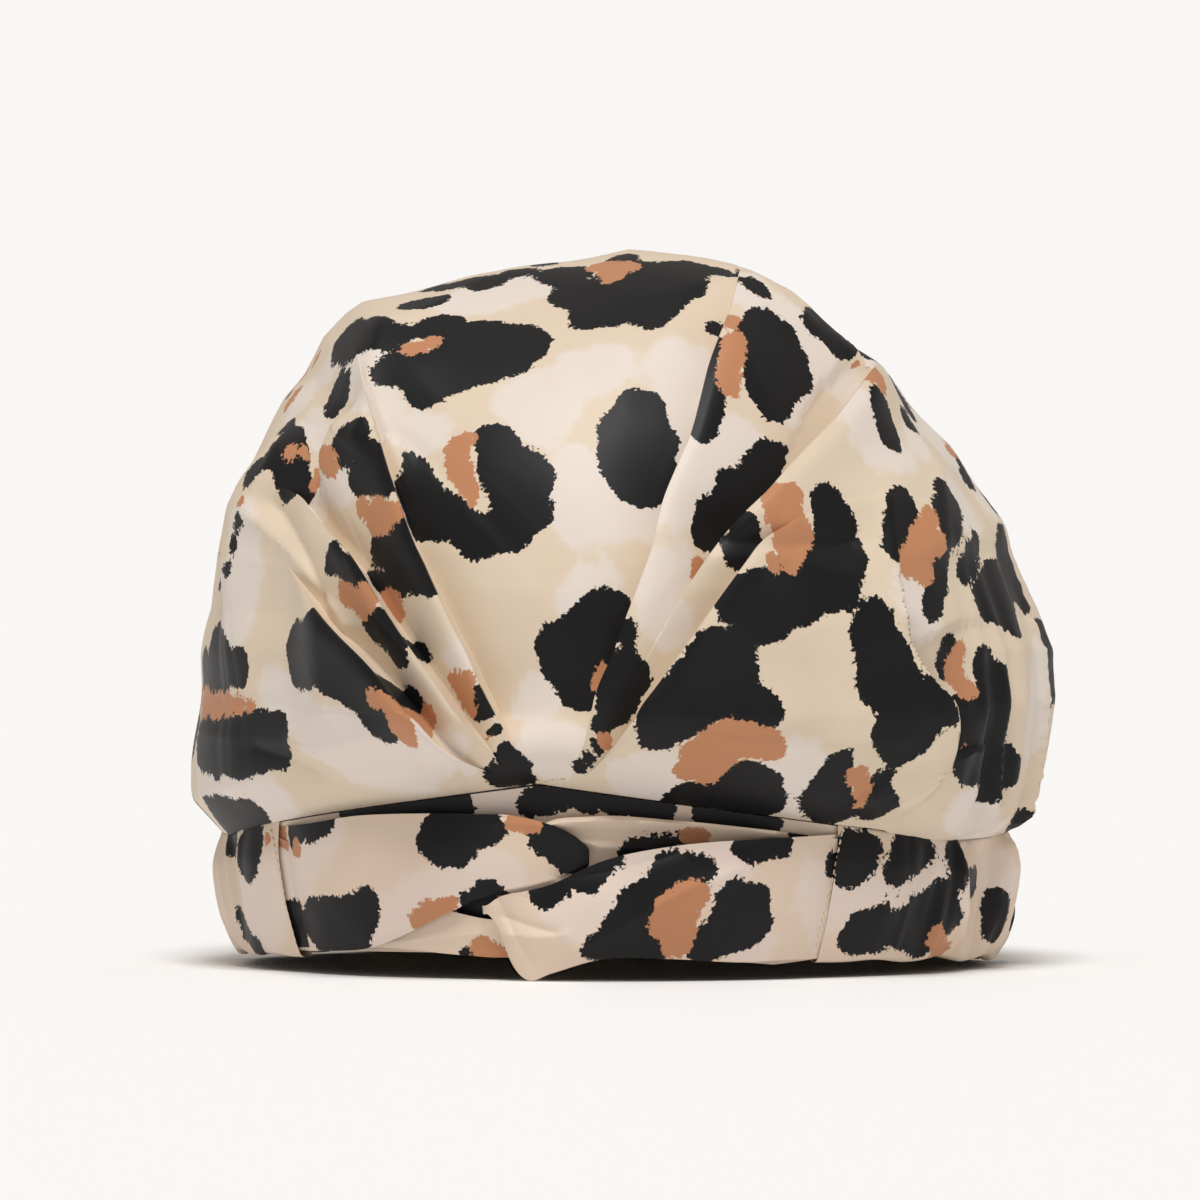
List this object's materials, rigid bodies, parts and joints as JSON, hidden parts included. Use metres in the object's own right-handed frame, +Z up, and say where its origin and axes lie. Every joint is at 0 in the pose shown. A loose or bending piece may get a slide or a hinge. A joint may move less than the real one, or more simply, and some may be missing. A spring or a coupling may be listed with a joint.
{
  "type": "shower cap",
  "caption": "Puffed turban-style shower cap with a pleated crown, a twisted front band and a gathered elastic casing.",
  "frame": {"origin": "centre of the cap's footprint, on the surface that the cap rests on", "axes": "+X to the right of someone facing the cap's front, +Y to the back of the cap, +Z up through the crown"},
  "size_m": [0.2772, 0.2582, 0.2315],
  "materials": {
    "printed_satin": "soft satin sheen, leopard print",
    "lining_film": "smooth waterproof film",
    "elastic_braid": "knitted elastic, matte",
    "peach_thread": "spun sewing thread, matte"
  },
  "bodies": {
    "root": {"crown_shell": "printed_satin", "crown_lining": "lining_film", "left_band_loop": "printed_satin", "right_band_loop": "printed_satin", "front_facing": "printed_satin", "back_casing": "printed_satin", "elastic_strip": "elastic_braid", "left_seam_stitches": "peach_thread", "right_seam_stitches": "peach_thread", "tack_stitches": "peach_thread", "crown_seam_stitches": "peach_thread"}
  },
  "joints": []
}
